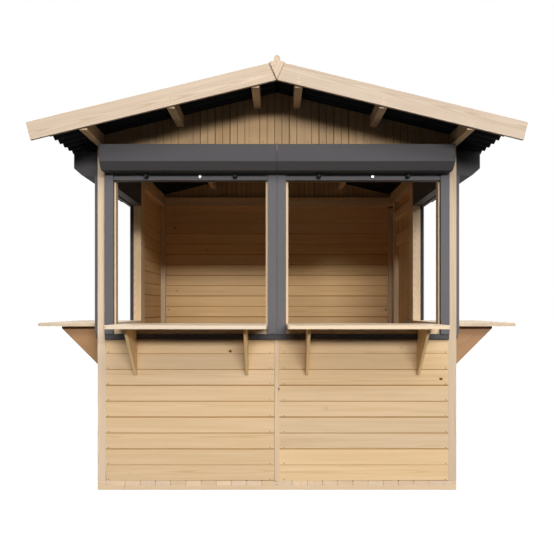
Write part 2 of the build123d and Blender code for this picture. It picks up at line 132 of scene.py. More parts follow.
def new_finish(name, **fixed):
    """A material with one Principled shader. Its fixed values are named with _ for a space."""
    material = bpy.data.materials.new(name)
    material.use_nodes = True
    shader = material.node_tree.nodes["Principled BSDF"]
    for socket, value in fixed.items():
        shader.inputs[socket.replace("_", " ")].default_value = value
    return material, shader, Socket(material.node_tree)


def emboss(height, shader, strength, depth):
    """Raises the surface by a height from 0 to 1, where 1 stands for a real depth in metres."""
    bump = height.add("Bump", inputs={"Strength": strength, "Distance": depth, "Height": height})
    bump.into(shader, "Normal")


def softwood(name, pale, dark, knots, gloss=0.55, end_shade=0.20):
    """Planed softwood, drawn along each piece's own grain: rings round the heart, fibre, streaks and knots.
    knots is the share of places that have one, and end_shade is how much darker the sawn ends are."""
    ring_pitch, ring_sway, ring_swell = 0.0042, 0.022, 0.008
    sway_waves, fibre_waves, streak_waves = (0.9, 5.0, 5.0), (9.0, 420.0, 420.0), (1.3, 38.0, 38.0)
    knot_spacing, knot_spread, knot_radius, knot_halo = 0.42, 0.044, 0.0095, 0.022
    knot_brown = (0.150, 0.060, 0.020, 1.0)
    warm, cool = (1.035, 1.005, 0.93, 1.0), (0.975, 0.985, 1.03, 1.0)
    untinted, joint_dirt_and_shade_tint = (1.0, 1.0, 1.0, 1.0), (0.66, 0.54, 0.36, 1.0)
    wood, shader, tree = new_finish(name, Specular_IOR_Level=0.04)
    grain = tree.add("Attribute", {"attribute_name": "grain"}, output="Vector")
    heart = tree.add("Attribute", {"attribute_name": "heart"}, output="Vector")
    groove = tree.add("Attribute", {"attribute_name": "groove"}, output="Fac")
    sawn_end = tree.add("Attribute", {"attribute_name": "sawn_end"}, output="Fac")
    along, across, through = grain.split()
    shade, side, depth = heart.split()

    cell = (along / knot_spacing).maths("FLOOR")
    place = tree.add("CombineXYZ", inputs={0: cell, 1: shade * 97.0})
    where, which_side, size = tree.add(
        "TexWhiteNoise", {"noise_dimensions": "2D"}, {"Vector": place}, output="Color").split()
    ahead = (cell + 0.2 + where * 0.6) * knot_spacing - along
    beside = (which_side - 0.5) * knot_spread - across
    distance = (ahead * ahead * 0.6 + beside * beside) ** 0.5
    radius = (size - (1.0 - knots)) * (knot_radius / knots)
    knot = (distance - radius).fade(-0.001, 0.0015) * (radius > 0.0)
    round_knot = distance.fade(0.0, knot_halo) * (radius > 0.0)

    sway = grain.noise(sway_waves)
    from_heart = ((across - side) * (across - side) + (through - depth) * (through - depth)) ** 0.5
    bent = from_heart + (sway - 0.5) * ring_sway + round_knot * ring_swell
    ring = (bent * (2 * math.pi / ring_pitch)).maths("SINE")
    latewood = (ring * 0.5 + 0.5) ** 2.5
    fibre = grain.noise(fibre_waves, detail=3.0)
    streak = grain.noise(streak_waves, detail=3.0, roughness=0.6)
    figure = latewood * 0.30 + fibre * 0.30 + streak * 0.75 - 0.22
    tint = (shade * 7.3).maths("FRACT").between(warm, cool)
    colour = figure.between((*pale, 1.0), (*dark, 1.0)) * tint
    colour = colour * (0.92 + shade * 0.16) * (1.0 - round_knot * 0.12)
    colour = knot.between(colour, knot_brown)
    # Faces in a joint are darkened: dust, and painted shade in the vee of the joint.
    joint_dirt_and_shade = groove.between(untinted, joint_dirt_and_shade_tint)
    colour = colour * joint_dirt_and_shade * (1.0 - sawn_end * end_shade)
    colour.into(shader, "Base Color")
    (gloss + latewood * 0.08 + sawn_end * 0.2).into(shader, "Roughness")
    emboss(latewood * 0.35 + fibre * 0.5 - knot * 0.2, shader, strength=0.35, depth=0.0006)
    return wood


touching = 1e-5


def solids(node):
    """The separate solids of a CAD node, each with whole faces where the node has triangles."""
    whole = bmesh.new()
    whole.from_mesh(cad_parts[node].data)
    bmesh.ops.remove_doubles(whole, verts=whole.verts, dist=touching)
    whole.verts.ensure_lookup_table()
    seen = set()
    for first in range(len(whole.verts)):
        if first in seen:
            continue
        seen.add(first)
        group = [first]
        for index in group:
            for edge in whole.verts[index].link_edges:
                other = edge.other_vert(whole.verts[index]).index
                if other not in seen:
                    seen.add(other)
                    group.append(other)
        number = {index: place for place, index in enumerate(sorted(group))}
        solid = bmesh.new()
        corners = [solid.verts.new(whole.verts[index].co) for index in sorted(group)]
        for face in whole.faces:
            if face.verts[0].index in number:
                solid.faces.new([corners[number[vert.index]] for vert in face.verts])
        bmesh.ops.dissolve_limit(solid, angle_limit=math.radians(1), verts=solid.verts, edges=solid.edges)
        yield solid
    whole.free()


def extent(solid, direction):
    """Lowest and highest place of a solid along a direction."""
    places = [vert.co.dot(direction) for vert in solid.verts]
    return min(places), max(places)


def length_ways(solid):
    """The directions of a solid's length and width: its longest edge, then the wider way across it."""
    longest = max(solid.edges, key=lambda edge: round(edge.calc_length(), 5))
    run = (longest.verts[1].co - longest.verts[0].co).normalized()
    if max(run, key=abs) < 0:
        run.negate()
    ways = [axis - run * axis.dot(run) for axis in Matrix.Identity(3) if abs(axis.dot(run)) < 0.9]
    ways = [way.normalized() for way in ways]
    return run, max(ways, key=lambda way: round(extent(solid, way)[1] - extent(solid, way)[0], 4))


def put_up(name, shape, finish, body):
    """Makes a piece from a mesh, or from a bmesh, and puts it on its body and in its material slot."""
    if isinstance(shape, bmesh.types.BMesh):
        mesh = bpy.data.meshes.new(name)
        shape.to_mesh(mesh)
        shape.free()
    else:
        mesh = shape
    mesh.materials.append(finish)
    piece = bpy.data.objects.new(name, mesh)
    bpy.context.scene.collection.objects.link(piece)
    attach(piece, body)
    return piece


class Bench:
    """Pieces of timber cut for one mesh, in which each keeps its own grain and heart."""

    def __init__(self, seed):
        self.chance = random.Random(seed)
        self.points, self.grain, self.heart = [], [], []
        self.faces, self.groove, self.sawn_end = [], [], []

    def log(self, solid, run, across):
        """Where in a log a piece is sawn: its middle and directions, then its shift, shade and heart."""
        middle = sum((vert.co for vert in solid.verts), Vector()) / len(solid.verts)
        shift, shade = self.chance.uniform(0, 90), self.chance.random()
        side, depth = self.chance.uniform(-0.03, 0.03), self.chance.uniform(0.012, 0.06)
        return middle, run, across, shift, (shade, side, depth)

    def ease(self, solid, edges, width, steps):
        """Takes the corner off these edges, in flat faces."""
        return bmesh.ops.bevel(
            solid, geom=edges, offset=width, offset_type="OFFSET", segments=steps, profile=0.5,
            affect="EDGES", clamp_overlap=True)["faces"]

    def lay(self, solid, log, grooves=()):
        """Adds a finished piece. grooves are its faces that lie in a joint."""
        middle, run, across, shift, heart = log
        through = run.cross(across)
        start = len(self.points)
        solid.normal_update()
        solid.verts.index_update()
        for vert in solid.verts:
            place = vert.co - middle
            self.points.append(vert.co[:])
            self.grain.append((place.dot(run) + shift, place.dot(across), place.dot(through)))
            self.heart.append(heart)
        for face in solid.faces:
            self.faces.append([start + vert.index for vert in face.verts])
            self.groove.append(float(face in grooves))
            self.sawn_end.append(float(abs(face.normal.dot(run)) > 0.8))
        solid.free()

    def dress(self, node, arris=0.0015):
        """Lays each of a CAD node's timbers, with its sharp edges eased."""
        for solid in solids(node):
            log = self.log(solid, *length_ways(solid))
            sharp = [edge for edge in solid.edges if edge.calc_face_angle(0.0) > math.radians(30)]
            self.ease(solid, sharp, arris, 2)
            self.lay(solid, log)
        return self

    def join(self, name, finish, slot, body, *replaced):
        """Joins all that was laid as one piece on its body, in place of the CAD nodes."""
        mesh = bpy.data.meshes.new(name)
        mesh.from_pydata(self.points, [], self.faces)
        for label, values in (("grain", self.grain), ("heart", self.heart)):
            layer = mesh.attributes.new(label, "FLOAT_VECTOR", "POINT")
            layer.data.foreach_set("vector", [part for value in values for part in value])
        for label, values in (("groove", self.groove), ("sawn_end", self.sawn_end)):
            mesh.attributes.new(label, "FLOAT", "FACE").data.foreach_set("value", values)
        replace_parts(put_up(name, mesh, finish, body), *replaced)


floor_spruce = softwood(
    "sawn_floor_spruce", pale=(0.80, 0.625, 0.445), dark=(0.62, 0.44, 0.28), knots=0.3, end_shade=0.04)
Bench(1).dress("floor_bearers", arris=0.002).join(
    "floor_battens", floor_spruce, "floor_timber", "hut", "floor_bearers")


# Floor boards: spruce boards nailed over the bearers, running from the front to the back.
# Their sawn ends are the upper half of the strip at the foot of the front, with a dark joint at each board.


def sawn_strips(solid, across, lines, gap):
    """The solid sawn at lines across its width, with a gap at each: (number of the lower line, strip) for
    each strip that is left."""
    for number, (low, high) in enumerate(zip(lines, lines[1:])):
        strip = solid.copy()
        for place, outwards in ((low + gap / 2, -across), (high - gap / 2, across)):
            whole = strip.verts[:] + strip.edges[:] + strip.faces[:]
            cut = bmesh.ops.bisect_plane(
                strip, geom=whole, plane_co=across * place, plane_no=outwards, clear_outer=True)["geom_cut"]
            rim = [edge for edge in cut if isinstance(edge, bmesh.types.BMEdge) and edge.is_boundary]
            bmesh.ops.holes_fill(strip, edges=rim)
        if strip.faces:
            bmesh.ops.recalc_face_normals(strip, faces=strip.faces)
            yield number, strip
        else:
            strip.free()


def board_lines(start, pitch, low, high):
    """Joint lines at a pitch, from the last one at or below low to the first one at or above high.
    What would be less than a sliver of a board's width goes to the board beside it."""
    sliver = 0.05
    first = math.floor((low - start) / pitch + sliver)
    last = math.ceil((high - start) / pitch - sliver)
    return first, [start + pitch * number for number in range(first, last + 1)]


def cut_boards(bench, node, run, across, start, pitch, vee, halves=1, half_vee=0.0, gap=0.0):
    """Lays a CAD node's panels as boards with a vee at each joint, and a gap. A board of 2 halves has a
    lesser vee between them, and one grain."""
    near, straight = 1e-4, 0.999
    for solid in solids(node):
        first, lines = board_lines(start, pitch, *extent(solid, across))
        low, high = extent(solid, across)
        lines[0], lines[-1] = min(lines[0], low) - gap, max(lines[-1], high) + gap
        board = None
        for number, strip in sawn_strips(solid, across, lines, gap):
            if board != (first + number) // halves:
                board = (first + number) // halves
                log = bench.log(strip, run, across)
            grooves = set()
            for side in (0, 1):
                real_joint = (first + number + side) % halves == 0
                line = (max(lines[number] + gap / 2, low), min(lines[number + 1] - gap / 2, high))[side]
                edges = [
                    edge for edge in strip.edges
                    if all(abs(vert.co.dot(across) - line) < near for vert in edge.verts)
                    and abs((edge.verts[1].co - edge.verts[0].co).normalized().dot(run)) > straight]
                grooves.update(bench.ease(strip, edges, vee if real_joint else half_vee, 1))
            bench.lay(strip, log, grooves)
        solid.free()
    return bench


ALONG_X, ALONG_Y, UPRIGHT = Vector((1, 0, 0)), Vector((0, 1, 0)), Vector((0, 0, 1))
floor_board = 0.0973
cut_boards(Bench(2), "floor_deck", ALONG_Y, ALONG_X, 0.0, floor_board, vee=0.004, gap=0.0015).join(
    "floor_boards", floor_spruce, "floor_timber", "hut", "floor_deck")


# Wall frames: planed spruce posts and rails, screwed together into panels, one frame to each bay.
# The corner posts, which are paler, the jambs beside the openings and the wide mid posts show from outside.
frame_spruce = softwood(
    "planed_frame_spruce", pale=(0.76, 0.595, 0.415), dark=(0.58, 0.405, 0.235), knots=0.2)
corner_spruce = softwood(
    "pale_corner_spruce", pale=(0.675, 0.55, 0.425), dark=(0.52, 0.385, 0.26), knots=0.2)
for seed, (name, finish, *built_from) in enumerate((
        ("corner_post_timber", corner_spruce, "corner_posts"),
        ("jamb_timber", frame_spruce, "jamb_posts"),
        ("mid_post_timber", frame_spruce, "mid_posts", "front_mullion"),
        ("rail_timber", frame_spruce,
         "bottom_rails", "sill_rails", "head_rails", "top_rails", "gable_rails"))):
    bench = Bench(15 + seed)
    for node in built_from:
        bench.dress(node)
    bench.join(name, finish, "frame_timber", "hut", *built_from)


# Wall boards: level tongue-and-groove spruce cladding, 16 mm thick, each board moulded to look like two,
# with a deeper line at the joints than along its middle. The front's boards are a little paler, and those
# of the other walls, which also show inside, more golden.
pale_cladding = softwood(
    "pale_spruce_cladding", pale=(0.765, 0.575, 0.385), dark=(0.54, 0.36, 0.172), knots=0.22)
golden_cladding = softwood(
    "golden_spruce_cladding", pale=(0.78, 0.54, 0.30), dark=(0.55, 0.338, 0.132), knots=0.22)
wall_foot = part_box("front_wall")[0].z
wall_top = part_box("rear_wall")[1].z
courses = 21
course = (wall_top - wall_foot) / courses
for seed, (wall, run, finish) in enumerate((
        ("front_wall", ALONG_X, pale_cladding), ("rear_wall", ALONG_X, golden_cladding),
        ("left_wall", ALONG_Y, golden_cladding), ("right_wall", ALONG_Y, golden_cladding))):
    cut_boards(
        Bench(20 + seed), wall, run, UPRIGHT, wall_foot, course, vee=0.0045, halves=2, half_vee=0.003,
    ).join(wall + "_boards", finish, "wall_boards", "hut", wall)


# Cover strips: a planed spruce batten over the joint where two panels meet in the middle of each wall,
# pinned through the boards. In three walls it ends under the sill, and in the rear wall it is full height.
Bench(30).dress("cover_strips").join(
    "joint_battens", frame_spruce, "frame_timber", "hut", "cover_strips")


# Board nails: small iron nails with flat heads, two columns of them to each panel, one a little above
# each line of the cladding, where the boards lie on the posts behind them.
def iron():
    """Dull dark iron, with a trace of brown in it."""
    finish, shader, tree = new_finish("dark_iron", Metallic=0.6, Specular_IOR_Level=0.3)
    cloud = tree.add("TexCoord", output="Object").noise((60.0, 60.0, 60.0), detail=3.0)
    cloud.between((0.050, 0.042, 0.036, 1.0), (0.105, 0.085, 0.070, 1.0)).into(shader, "Base Color")
    (0.5 + cloud * 0.2).into(shader, "Roughness")
    return finish


def turned(name, profile, sides, stands, finish, body):
    """Round pieces of one profile, a list of (radius, height), each standing on a place, along a way."""
    pieces = bmesh.new()
    for place, way in stands:
        turn = way.to_track_quat("Z", "Y").to_matrix()
        rings = []
        for radius, height in profile:
            angles = [2 * math.pi * side / sides for side in range(sides)]
            rim = [(radius * math.cos(angle), radius * math.sin(angle), height) for angle in angles]
            rings.append([pieces.verts.new(place + turn @ Vector(corner)) for corner in rim])
        for lower, upper in zip(rings, rings[1:]):
            for side in range(sides):
                after = (side + 1) % sides
                pieces.faces.new((lower[side], lower[after], upper[after], upper[side]))
        pieces.faces.new(rings[-1])
        pieces.faces.new(rings[0][::-1])
    put_up(name, pieces, finish, body)


iron_finish = iron()
wall_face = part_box("floor_deck")[1].x
sill_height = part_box("sill_rails")[0].z
nail_head = [(0.0032, -0.001), (0.0032, 0.0005), (0.0024, 0.0009)]
edge_column, middle_column, door_column = wall_face - 0.070, 0.045, 0.862
above_joint, clear_of_top = 0.009, 0.02
stands = []
for outward, along, low_columns, full_columns in (
        (-ALONG_Y, ALONG_X, (-edge_column, -middle_column, middle_column, edge_column), ()),
        (ALONG_Y, ALONG_X, (), (-edge_column, -middle_column, middle_column, edge_column)),
        (-ALONG_X, ALONG_Y, (-edge_column, -middle_column), (middle_column, edge_column)),
        (ALONG_X, ALONG_Y, (-edge_column, -middle_column), (door_column, edge_column))):
    for columns, top in ((low_columns, sill_height), (full_columns, wall_top)):
        for column in columns:
            for row in range(courses):
                height = wall_foot + course * row + above_joint
                if height < top - clear_of_top:
                    stands.append((outward * wall_face + along * column + UPRIGHT * height, outward))
turned("board_nails", nail_head, 8, stands, iron_finish, "hut")


# Gable boards: upright spruce boards that fill the triangle between the wall and the roof,
# cut to the slope at the top and nailed to the rail at the foot.
# Darker than the wall boards: the gable's colour holds painted shade from the roof's overhang.
gable_spruce_painted_shade = softwood("gable_spruce_painted_shade", pale=(0.53, 0.37, 0.215), dark=(0.38, 0.24, 0.12), knots=0.3)
gable_board, gable_joint = 0.095, -0.016
for seed, gable in enumerate(("front_gable", "rear_gable")):
    cut_boards(
        Bench(40 + seed), gable, UPRIGHT, ALONG_X, gable_joint, gable_board / 2,
        vee=0.004, halves=2, half_vee=0.0025,
    ).join(gable + "_boards", gable_spruce_painted_shade, "gable_boards", "hut", gable)
stands = []
boards_each_way, nail_column, nail_height = 11, 0.008, wall_top + 0.030
for outward in (-ALONG_Y, ALONG_Y):
    for number in range(-boards_each_way, boards_each_way + 1):
        across = number * gable_board + nail_column
        stands.append((outward * wall_face + ALONG_X * across + UPRIGHT * nail_height, outward))
turned("gable_nails", nail_head, 8, stands, iron_finish, "hut")


# Purlins and wall plates: three pairs of rough planed spruce timbers that carry the roof. The plates lie
# on the side walls. The gable boards are cut round them all, and they run on to the barge boards.
bench = Bench(50)
for node in ("purlins", "wall_plates"):
    bench.dress(node, arris=0.002)
bench.join("roof_timber", frame_spruce, "frame_timber", "hut", "purlins", "wall_plates")


# Barge boards: pale planed pine boards up both edges of each gable, mitred at the ridge, with a pointed
# key over the joint.
barge_pine = softwood("pale_barge_pine", pale=(0.69, 0.58, 0.48), dark=(0.44, 0.32, 0.215), knots=0.2)
bench = Bench(60)
barges = [f"{end}_{side}_barge_board" for end in ("front", "rear") for side in ("left", "right")]
for node in barges:
    bench.dress(node, arris=0.002)
bench.join("barge_timber", barge_pine, "barge_timber", "hut", *barges)
Bench(61).dress("apex_keys", arris=0.002).join(
    "apex_key_timber", barge_pine, "barge_timber", "hut", "apex_keys")


# Screws: countersunk screws, yellow-passivated, in pairs through the barge boards into the ends of the
# roof timbers, and through the keys into the barge boards.
def yellow_steel():
    """Yellow-passivated steel, dulled, which is hard to see against the pine."""
    finish, shader, tree = new_finish("yellow_passivated_steel", Metallic=0.8)
    cloud = tree.add("TexCoord", output="Object").noise((150.0, 150.0, 150.0))
    cloud.between((0.36, 0.26, 0.14, 1.0), (0.52, 0.40, 0.22, 1.0)).into(shader, "Base Color")
    (0.45 + cloud * 0.2).into(shader, "Roughness")
    return finish


screw_finish = yellow_steel()
screw_head = [(0.0040, -0.001), (0.0040, 0.0003), (0.0018, 0.0003), (0.0012, -0.0008)]
roof_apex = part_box("front_gable")[1].z
roof_pitch = math.radians(13.7)
ridge_purlin, mid_purlin, plate = 0.126, 0.618, wall_face - 0.0225
screw_drops, key_screw_rises, sunk = (0.018, 0.044), (-0.012, 0.026), 0.0005
barge_face = -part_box("front_left_barge_board")[0].y
key_face = -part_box("apex_keys")[0].y - sunk
stands = []
for outward in (-ALONG_Y, ALONG_Y):
    for side in (-1, 1):
        for beam in (ridge_purlin, mid_purlin, plate):
            for drop in screw_drops:
                height = roof_apex - math.tan(roof_pitch) * beam - drop
                stands.append((Vector((side * beam, 0, height)) + outward * barge_face, outward))
    for rise in key_screw_rises:
        stands.append((UPRIGHT * (roof_apex + rise) + outward * key_face, outward))
turned("barge_screws", screw_head, 10, stands, screw_finish, "hut")


# Door: upright spruce boards nailed to three ledges on their inner side, flush with the wall outside.
# The leaf closes against stops fixed round the doorway.
door_spruce = softwood("door_spruce", pale=(0.72, 0.52, 0.32), dark=(0.54, 0.36, 0.19), knots=0.3)
door_board, boards_across = 0.100, 7
ledge_heights, nail_spread = (0.230, 0.900, 1.790), 0.032
leaf_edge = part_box("door_leaf")[0].y
cut_boards(Bench(70), "door_leaf", UPRIGHT, ALONG_Y, leaf_edge, door_board, vee=0.0045).join(
    "door_boards", door_spruce, "door_boards", "door", "door_leaf")
Bench(71).dress("door_ledges", arris=0.003).join(
    "door_ledge_timber", door_spruce, "door_boards", "door", "door_ledges")
Bench(72).dress("door_stops").join("door_stop_timber", frame_spruce, "frame_timber", "hut", "door_stops")
stands = []
for ledge_height in ledge_heights:
    for number in range(boards_across):
        for rise in (-nail_spread, nail_spread):
            column = leaf_edge + door_board / 2 + door_board * number
            stands.append((Vector((wall_face, column, ledge_height + rise)), ALONG_X))
turned("door_nails", nail_head, 8, stands, iron_finish, "door")


# Counters: edge-glued spruce panels with a rounded top edge, which hook over the sills. Each stands on
# two triangular brackets of one board, coloured paler and golden in front as painted light, and browner at
# the sides as painted shade.
counter_spruce = softwood(
    "counter_spruce", pale=(0.85, 0.705, 0.54), dark=(0.68, 0.515, 0.345), knots=0.15, gloss=0.38)
# Two copies of one board: the front one painted lighter as painted light, the side one darker as painted
# shade.
front_bracket_board = softwood(
    "bracket_board_painted_light", pale=(0.97, 0.70, 0.36), dark=(0.82, 0.55, 0.26), knots=0.05)
side_bracket_board = softwood(
    "bracket_board_painted_shade", pale=(0.46, 0.27, 0.145), dark=(0.32, 0.18, 0.088), knots=0.05)
counter_board = 0.100
for seed, (counter, run, across) in enumerate((
        ("front_left_counter", ALONG_X, ALONG_Y), ("front_right_counter", ALONG_X, ALONG_Y),
        ("left_counter", ALONG_Y, ALONG_X), ("right_counter", ALONG_Y, ALONG_X))):
    cut_boards(
        Bench(80 + seed), counter, run, across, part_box(counter)[0].dot(across), counter_board, vee=0.0004,
    ).join(counter + "_panel", counter_spruce, "counter_timber", "hut", counter)
Bench(90).dress("front_brackets").join(
    "front_bracket_boards", front_bracket_board, "bracket_timber", "hut", "front_brackets")
Bench(91).dress("left_brackets").dress("right_brackets").join(
    "side_bracket_boards", side_bracket_board, "bracket_timber", "hut", "left_brackets", "right_brackets")


# Roof covering: corrugated sheets of bitumen-soaked fibre, with a moulded cap over the ridge.
# The surface is matt and slightly grainy, with a little dust on it in patches.
def bitumen():
    """Near-black, with a fine grain, cloudy patches and a little pale dust."""
    finish, shader, tree = new_finish("bitumen_fibre", Specular_IOR_Level=0.1)
    place = tree.add("TexCoord", output="Object")
    grit = place.noise((900.0, 900.0, 900.0), detail=1.0)
    cloud = place.noise((4.0, 4.0, 4.0), detail=4.0, roughness=0.6)
    dust = (cloud - 0.42) * 1.6 + (grit - 0.5) * 0.5
    dust.between((0.009, 0.009, 0.010, 1.0), (0.045, 0.045, 0.048, 1.0)).into(shader, "Base Color")
    (0.78 + grit * 0.15).into(shader, "Roughness")
    emboss(grit, shader, strength=0.4, depth=0.0008)
    return finish


def finish_nodes(finish, *names):
    """Gives CAD nodes that are shown as they are their finish."""
    for name in names:
        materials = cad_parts[name].data.materials
        for slot in range(len(materials)):
            materials[slot] = finish


roof_finish = bitumen()
finish_nodes(roof_finish, "roof_sheet_left", "roof_sheet_right", "ridge_cap")


# Sheet laps: the covering of each slope is four sheets side by side. Each covers nine waves, and its last
# one lies over the first of the next sheet.
def sheet_laps(name, sheet, side, wave):
    """The doubled wave at each lap: the sheet's top faces there, made as thick as a sheet."""
    thickness, waves_covered, lap_count = 0.003, 9, 3
    top_slant = 0.3
    ridge_cap_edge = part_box("ridge_cap")[1].x + 0.001
    low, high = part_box(sheet)[0].y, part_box(sheet)[1].y
    outward = Vector((side * math.sin(roof_pitch), 0, math.cos(roof_pitch)))
    laps = bmesh.new()
    laps.from_mesh(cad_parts[sheet].data)
    bmesh.ops.remove_doubles(laps, verts=laps.verts, dist=touching)
    centres = [low + wave * (waves_covered * number + 0.5) for number in range(1, lap_count + 1)]
    for face in laps.faces[:]:
        middle = face.calc_center_median()
        doubled = any(abs(middle.y - centre) < wave / 2 for centre in centres)
        if face.normal.dot(outward) < top_slant or not doubled:
            laps.faces.remove(face)
    loose = [vert for vert in laps.verts if not vert.link_faces]
    bmesh.ops.delete(laps, geom=loose, context="VERTS")
    whole = laps.verts[:] + laps.edges[:] + laps.faces[:]
    bmesh.ops.bisect_plane(
        laps, geom=whole, plane_co=ALONG_X * side * ridge_cap_edge, plane_no=ALONG_X * -side,
        clear_outer=True)
    bmesh.ops.solidify(laps, geom=laps.faces[:], thickness=-thickness)
    bmesh.ops.recalc_face_normals(laps, faces=laps.faces)
    put_up(name, laps, roof_finish, "hut")


wave_count = 33
wave = (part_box("ridge_cap")[1].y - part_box("ridge_cap")[0].y) / wave_count
sheet_laps("left_sheet_laps", "roof_sheet_left", -1, wave)
sheet_laps("right_sheet_laps", "roof_sheet_right", 1, wave)


# Roof nails: galvanised nails with domed black caps, on every second crest over each roof timber,
# and through the wings of the ridge cap.
wave_height, wing_thickness = 0.038, 0.003
cap_nail_line = 0.150
nail_cap = [(0.0125, -0.002), (0.0125, 0.0015), (0.0100, 0.0050), (0.0050, 0.0070)]
stands = []
for side in (-1, 1):
    outward = Vector((side * math.sin(roof_pitch), 0, math.cos(roof_pitch)))
    for beam, stand_off in (
            (cap_nail_line, wave_height + wing_thickness), (mid_purlin, wave_height), (plate, wave_height)):
        line = Vector((side * beam, 0, roof_apex - math.tan(roof_pitch) * beam)) + outward * stand_off
        for number in range(0, wave_count, 2):
            crest = (number + 0.5 - wave_count / 2) * wave
            stands.append((line + ALONG_Y * crest, outward))
turned("roof_nail_caps", nail_cap, 12, stands, roof_finish, "hut")


# Roller shutters: folded aluminium boxes over the openings, with extruded guides, sills and bottom bars.
# All are powder coated dark grey. The boxes and the sills are given a darker grey than the guides and the
# bars: painted shade.
def powder_coat(name, grey):
    """Dark grey powder coat: even, satin, with the fine orange peel that it dries with."""
    finish, shader, tree = new_finish(name, Specular_IOR_Level=0.03)
    place = tree.add("TexCoord", output="Object")
    peel = place.noise((700.0, 700.0, 700.0), detail=2.0)
    cloud = place.noise((3.0, 3.0, 3.0), detail=3.0)
    darker = (grey * 0.92, grey * 0.88, grey * 0.92, 1.0)
    lighter = (grey * 1.08, grey * 1.03, grey * 1.08, 1.0)
    cloud.between(darker, lighter).into(shader, "Base Color")
    (0.50 + cloud * 0.1).into(shader, "Roughness")
    emboss(peel, shader, strength=0.2, depth=0.0003)
    return finish


bays = ("front_left", "front_right", "left", "right")
guide_finish = powder_coat("guide_powder_coat", 0.131)
# The same coat, darker: painted shade under the roof and under the counters.
box_coat_painted_shade = powder_coat("box_powder_coat_painted_shade", 0.084)
finish_nodes(
    guide_finish, "front_shutter_guides", "left_shutter_guides", "right_shutter_guides",
    "shutter_bottom_bars")
finish_nodes(box_coat_painted_shade, "shutter_sills", *(bay + "_shutter_box" for bay in bays))


# Head linings: a folded sheet of the same dark grey as the boxes behind each box, over the underside and the
# inner face of the timber at the opening's head, which stands in for the shade there: painted shade. Two
# rows of rivets hold it.
def folded_sheets(name, section, runs, finish, body):
    """One section, points of (outward, height), carried along runs of (outward, along, start, end)."""
    sheets = bmesh.new()
    for outward, along, start, end in runs:
        ends = []
        for place in (start, end):
            corners = [outward * out + UPRIGHT * height + along * place for out, height in section]
            ends.append([sheets.verts.new(corner) for corner in corners])
        for corner in range(len(section)):
            after = (corner + 1) % len(section)
            sheets.faces.new((ends[0][corner], ends[0][after], ends[1][after], ends[1][corner]))
        sheets.faces.new(ends[0][::-1])
        sheets.faces.new(ends[1])
    bmesh.ops.recalc_face_normals(sheets, faces=sheets.faces)
    put_up(name, sheets, finish, body)


head_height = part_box("head_rails")[0].z
wall_inner = wall_face - 0.060
lining_back, lining_front, set_back, lining_top = 0.0002, 0.0015, 0.0005, wall_top - 0.002
lining_section = [
    (wall_face - set_back, head_height - lining_back), (wall_face - set_back, head_height - lining_front),
    (wall_inner - set_back, head_height - lining_front), (wall_inner - lining_front, head_height - set_back),
    (wall_inner - lining_front, lining_top), (wall_inner - lining_back, lining_top),
    (wall_inner - lining_back, head_height - lining_back)]
serving_sides = ((-ALONG_Y, ALONG_X, (-1, 1)), (-ALONG_X, ALONG_Y, (-1,)), (ALONG_X, ALONG_Y, (-1,)))
bay_start, bay_end = 0.074, 1.030
runs = [
    (outward, along, side * bay_start, side * bay_end)
    for outward, along, sides in serving_sides for side in sides]
# Dark sheets over each opening's head, standing in for the shade there: painted shade.
folded_sheets("head_linings_painted_shade", lining_section, runs, box_coat_painted_shade, "hut")


# Shutter fittings: on each bottom bar two conical rubber stops, which meet the box when the shutter is up,
# and a cylinder lock. Rivets hold the end caps in the boxes, and the head linings.
def rubber():
    """Black rubber: matt, and a little dusty."""
    finish, shader, tree = new_finish("black_rubber", Specular_IOR_Level=0.2)
    dust = tree.add("TexCoord", output="Object").noise((90.0, 90.0, 90.0), detail=3.0)
    dust.between((0.010, 0.010, 0.011, 1.0), (0.030, 0.030, 0.030, 1.0)).into(shader, "Base Color")
    (0.7 + dust * 0.2).into(shader, "Roughness")
    return finish


def nickel():
    """Satin nickel plate on the lock cylinders, hardly scratched."""
    finish, shader, tree = new_finish("nickel_plate", Metallic=1.0)
    scratch = tree.add("TexCoord", output="Object").noise((400.0, 400.0, 400.0), detail=3.0)
    scratch.between((0.30, 0.295, 0.29, 1.0), (0.42, 0.415, 0.41, 1.0)).into(shader, "Base Color")
    (0.32 + scratch * 0.15).into(shader, "Roughness")
    return finish


rubber_finish = rubber()
lock_finish = nickel()
bar_low, bar_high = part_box("shutter_bottom_bars")
bar_middle = (bar_low.z + bar_high.z) / 2
bar_face = wall_face + 0.020
end_cap_lip = 0.0015
box_front = -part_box("front_left_shutter_box")[0].y - end_cap_lip
box_low, box_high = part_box("front_left_shutter_box")
bay_middle, stop_spread, lock_shift = 0.5495, 0.283, 0.059
cap_rivets, cap_rivet_heights = (0.017, -box_low.x - 0.016), (box_low.z + 0.065, box_high.z - 0.025)
lining_rivets, lining_rivet_heights = (0.12, 0.41, 0.69, 0.98), (head_height + 0.030, wall_top - 0.030)
stop_profile = [(0.0155, 0.0), (0.0155, 0.004), (0.0145, 0.005), (0.0115, 0.038), (0.0090, 0.042)]
lock_profile = [(0.0105, 0.0), (0.0105, 0.006), (0.0085, 0.009), (0.003, 0.009), (0.002, 0.004)]
rivet_profile = [(0.0032, -0.001), (0.0028, 0.0008), (0.0014, 0.0014)]
stops, locks, rivets = [], [], []
for outward, along, sides in serving_sides:
    for side in sides:
        bar_line = outward * bar_face + along * (side * bay_middle) + UPRIGHT * bar_middle
        rightwards = UPRIGHT.cross(outward)
        stops += [(bar_line + rightwards * place, outward) for place in (-stop_spread, stop_spread)]
        locks.append((bar_line + rightwards * lock_shift, outward))
        for face, way, places, heights in (
                (box_front, outward, cap_rivets, cap_rivet_heights),
                (wall_inner - lining_front, -outward, lining_rivets, lining_rivet_heights)):
            for place in places:
                for height in heights:
                    rivets.append((outward * face + along * (side * place) + UPRIGHT * height, way))
turned("bar_stops", stop_profile, 12, stops, rubber_finish, "hut")
turned("bar_locks", lock_profile, 14, locks, lock_finish, "hut")
turned("box_rivets", rivet_profile, 8, rivets, box_coat_painted_shade, "hut")


